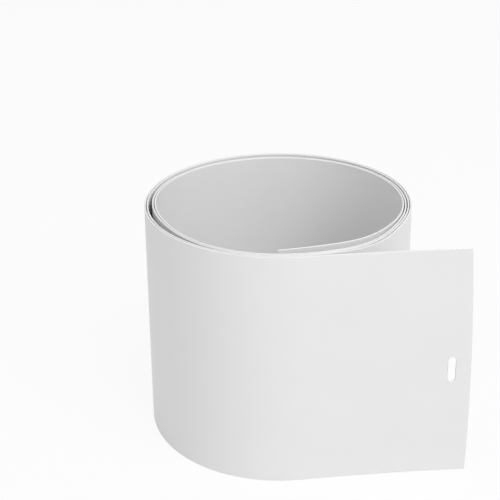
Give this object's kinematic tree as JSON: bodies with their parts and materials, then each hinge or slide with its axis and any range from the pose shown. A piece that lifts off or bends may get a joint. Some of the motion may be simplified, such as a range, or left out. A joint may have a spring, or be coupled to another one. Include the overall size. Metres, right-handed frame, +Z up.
{
  "type": "tree guard",
  "caption": "Coiled strip of plain white plastic that wraps round a young trunk and is tied through a slot at its free end.",
  "frame": {"origin": "on the axis of the coil, level with its bottom edge", "axes": "+Z up along the axis of the coil; the free end leaves the front (-Y) towards +X"},
  "size_m": [0.1359, 0.1151, 0.102],
  "materials": {
    "white_plastic": "smooth extruded white plastic with a soft satin sheen"
  },
  "bodies": {
    "coil": {"inner_end": "white_plastic", "inner_turn_1": "white_plastic", "inner_turn_2": "white_plastic", "inner_turn_3": "white_plastic"},
    "outer_turn_1": {"outer_turn_panel_1": "white_plastic"},
    "outer_turn_2": {"outer_turn_panel_2": "white_plastic"},
    "outer_turn_3": {"outer_turn_panel_3": "white_plastic"},
    "outer_turn_4": {"outer_turn_panel_4": "white_plastic"},
    "outer_turn_5": {"outer_turn_panel_5": "white_plastic"},
    "outer_turn_6": {"outer_turn_panel_6": "white_plastic"},
    "outer_turn_7": {"outer_turn_panel_7": "white_plastic"},
    "outer_turn_8": {"outer_turn_panel_8": "white_plastic"},
    "free_end": {"free_end_panel": "white_plastic"},
    "tie_end": {"slotted_end": "white_plastic"}
  },
  "joints": [
    {"name": "unroll", "type": "hinge", "parent": "coil", "child": "outer_turn_1", "pos_m": [0.00983, -0.05572, 0.051], "axis": [0, 0, 1], "range_deg": [-45, 0], "stiffness_Nm_per_rad": 0.02},
    {"name": "unroll_2", "type": "hinge", "parent": "outer_turn_1", "child": "outer_turn_2", "pos_m": [0.04716, -0.03302, 0.051], "axis": [0, 0, 1], "range_deg": [-45, 0]},
    {"name": "unroll_3", "type": "hinge", "parent": "outer_turn_2", "child": "outer_turn_3", "pos_m": [0.05584, 0.00985, 0.051], "axis": [0, 0, 1], "range_deg": [-45, 0]},
    {"name": "unroll_4", "type": "hinge", "parent": "outer_turn_3", "child": "outer_turn_4", "pos_m": [0.03259, 0.04655, 0.051], "axis": [0, 0, 1], "range_deg": [-45, 0]},
    {"name": "unroll_5", "type": "hinge", "parent": "outer_turn_4", "child": "outer_turn_5", "pos_m": [-0.00989, 0.05608, 0.051], "axis": [0, 0, 1], "range_deg": [-45, 0]},
    {"name": "unroll_6", "type": "hinge", "parent": "outer_turn_5", "child": "outer_turn_6", "pos_m": [-0.04675, 0.03274, 0.051], "axis": [0, 0, 1], "range_deg": [-45, 0]},
    {"name": "unroll_7", "type": "hinge", "parent": "outer_turn_6", "child": "outer_turn_7", "pos_m": [-0.05633, -0.00993, 0.051], "axis": [0, 0, 1], "range_deg": [-45, 0]},
    {"name": "unroll_8", "type": "hinge", "parent": "outer_turn_7", "child": "outer_turn_8", "pos_m": [-0.03288, -0.04696, 0.051], "axis": [0, 0, 1], "range_deg": [-45, 0]},
    {"name": "free_end_flex", "type": "hinge", "parent": "outer_turn_8", "child": "free_end", "pos_m": [0.02981, -0.05399, 0.051], "axis": [0, 0, 1], "range_deg": [-20, 25], "stiffness_Nm_per_rad": 0.02},
    {"name": "slotted_end_flex", "type": "hinge", "parent": "free_end", "child": "tie_end", "pos_m": [0.05466, -0.05124, 0.051], "axis": [0, 0, 1], "range_deg": [-20, 25]}
  ],
  "couplings": [
    {"joint": "unroll_2", "follows": "unroll", "ratio": 1},
    {"joint": "unroll_3", "follows": "unroll", "ratio": 1},
    {"joint": "unroll_4", "follows": "unroll", "ratio": 1},
    {"joint": "unroll_5", "follows": "unroll", "ratio": 1},
    {"joint": "unroll_6", "follows": "unroll", "ratio": 1},
    {"joint": "unroll_7", "follows": "unroll", "ratio": 1},
    {"joint": "unroll_8", "follows": "unroll", "ratio": 1},
    {"joint": "slotted_end_flex", "follows": "free_end_flex", "ratio": 1}
  ]
}
